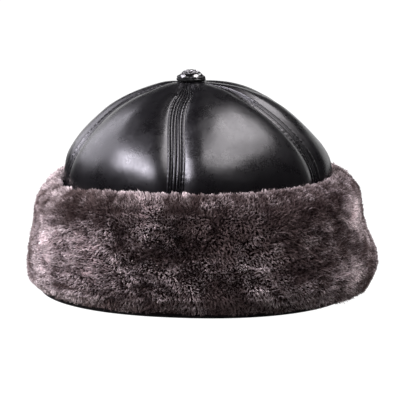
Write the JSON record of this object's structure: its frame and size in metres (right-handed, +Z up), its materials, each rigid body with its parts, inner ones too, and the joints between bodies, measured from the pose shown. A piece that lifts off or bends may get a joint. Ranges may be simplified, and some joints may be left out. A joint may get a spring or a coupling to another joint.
{
  "type": "fur hat",
  "caption": "Domed black leather winter hat of sewn panels with a metal top button and a wide turned-up sheared fur cuff, open underneath for a head.",
  "frame": {"origin": "on the surface that the hat rests on, under the middle of the whole hat", "axes": "+Z up, through the crown; -Y towards the wearer's forehead, where the front seam is; the hat is a little longer from front to back than it is wide"},
  "size_m": [0.2352, 0.2475, 0.146],
  "materials": {
    "crown_leather": "smooth black leather with a soft shine",
    "rim_leather": "black leather, less shiny",
    "sheared_fur": "dense sheared fur, dark brown at the root with pale frosted tips",
    "button_black": "glossy black",
    "button_silver": "bright, with dark hollows"
  },
  "bodies": {
    "root": {"crown_panel_1": "crown_leather", "crown_panel_2": "crown_leather", "crown_panel_3": "crown_leather", "crown_panel_4": "crown_leather", "crown_panel_5": "crown_leather", "crown_panel_6": "crown_leather", "rim_binding": "rim_leather", "fur_cuff": "sheared_fur", "button_base": "button_black", "button_rosette": "button_silver"}
  },
  "joints": []
}
